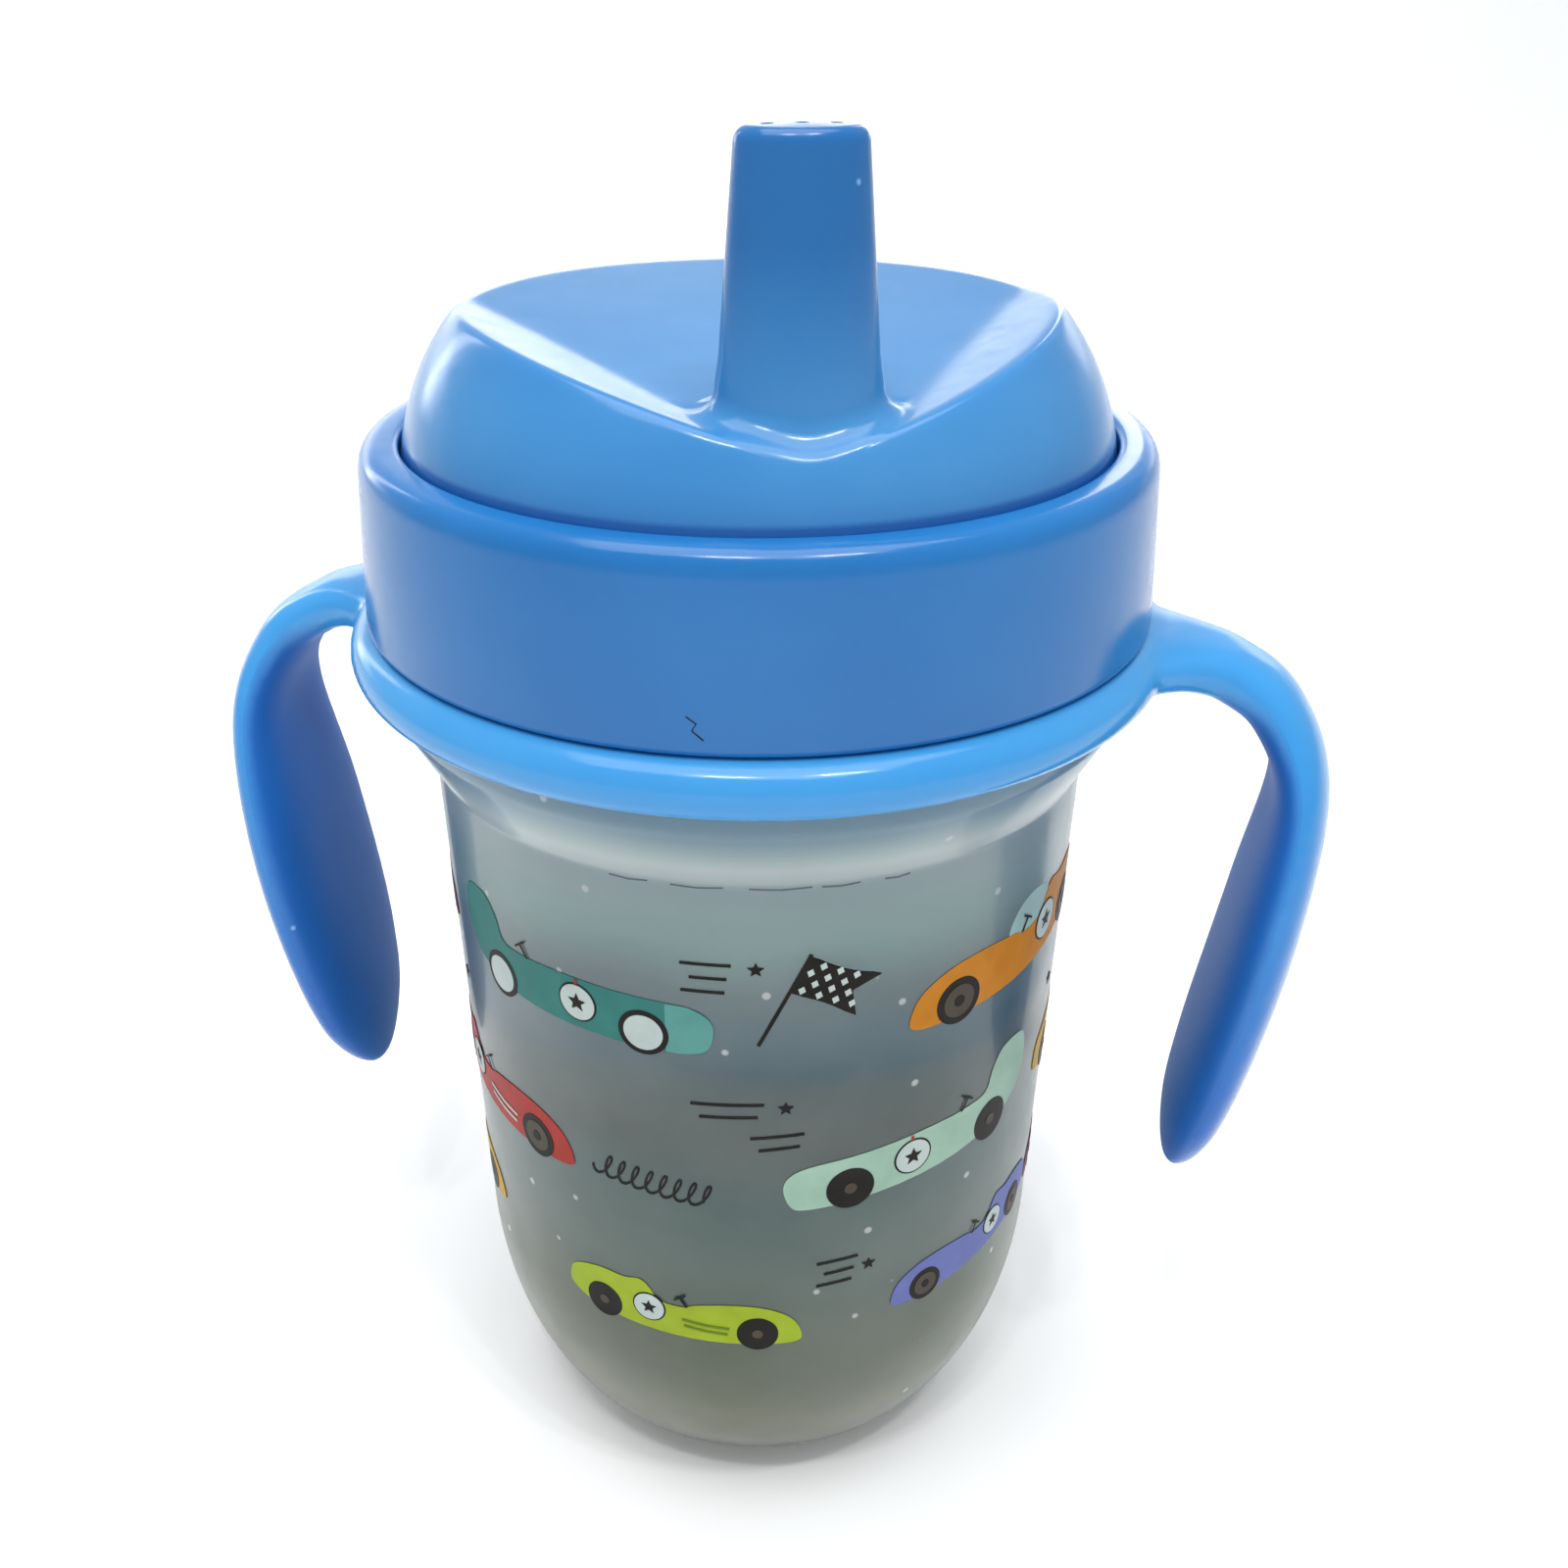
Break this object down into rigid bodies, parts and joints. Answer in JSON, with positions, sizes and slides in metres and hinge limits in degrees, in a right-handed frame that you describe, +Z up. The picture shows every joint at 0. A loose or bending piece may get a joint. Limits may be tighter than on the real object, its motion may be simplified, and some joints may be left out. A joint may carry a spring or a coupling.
{
  "type": "sippy cup",
  "caption": "Toddler drinking cup with a frosted tapered body, a screw collar, a domed lid with a fixed hard spout and a loose ring with drooping handles.",
  "frame": {"origin": "centre of the cup's flat base", "axes": "+Z up along the axis of the cup, spout towards -Y, handles near the X axis"},
  "size_m": [0.1124, 0.0816, 0.1455],
  "materials": {
    "frosted_plastic": "frosted translucent polypropylene",
    "handle_blue": "glossy moulded",
    "collar_blue": "glossy moulded",
    "lid_blue": "glossy moulded",
    "silicone": "soft translucent silicone"
  },
  "bodies": {
    "cup": {"cup_body": "frosted_plastic"},
    "handles": {"handle_ring": "handle_blue"},
    "lid": {"spout_lid": "lid_blue", "lid_gasket": "silicone"},
    "collar": {"screw_collar": "collar_blue"},
    "valve": {"spill_valve": "silicone"}
  },
  "joints": [
    {"name": "handle_turn", "type": "hinge", "parent": "cup", "child": "handles", "pos_m": [0, 0, 0.0959], "axis": [0, 0, 1], "continuous": true},
    {"name": "lid_lift", "type": "slide", "parent": "cup", "child": "lid", "axis": [0, 0, 1], "range_m": [0, 0.005]},
    {"name": "collar_turn", "type": "hinge", "parent": "lid", "child": "collar", "pos_m": [0, 0, 0.105], "axis": [0, 0, 1], "range_deg": [0, 450]},
    {"name": "valve_pull", "type": "slide", "parent": "lid", "child": "valve", "axis": [0, 0, -1], "range_m": [0, 0.009]}
  ],
  "couplings": [
    {"joint": "collar_turn", "follows": "lid_lift", "rad_per_m": 1570.8}
  ]
}
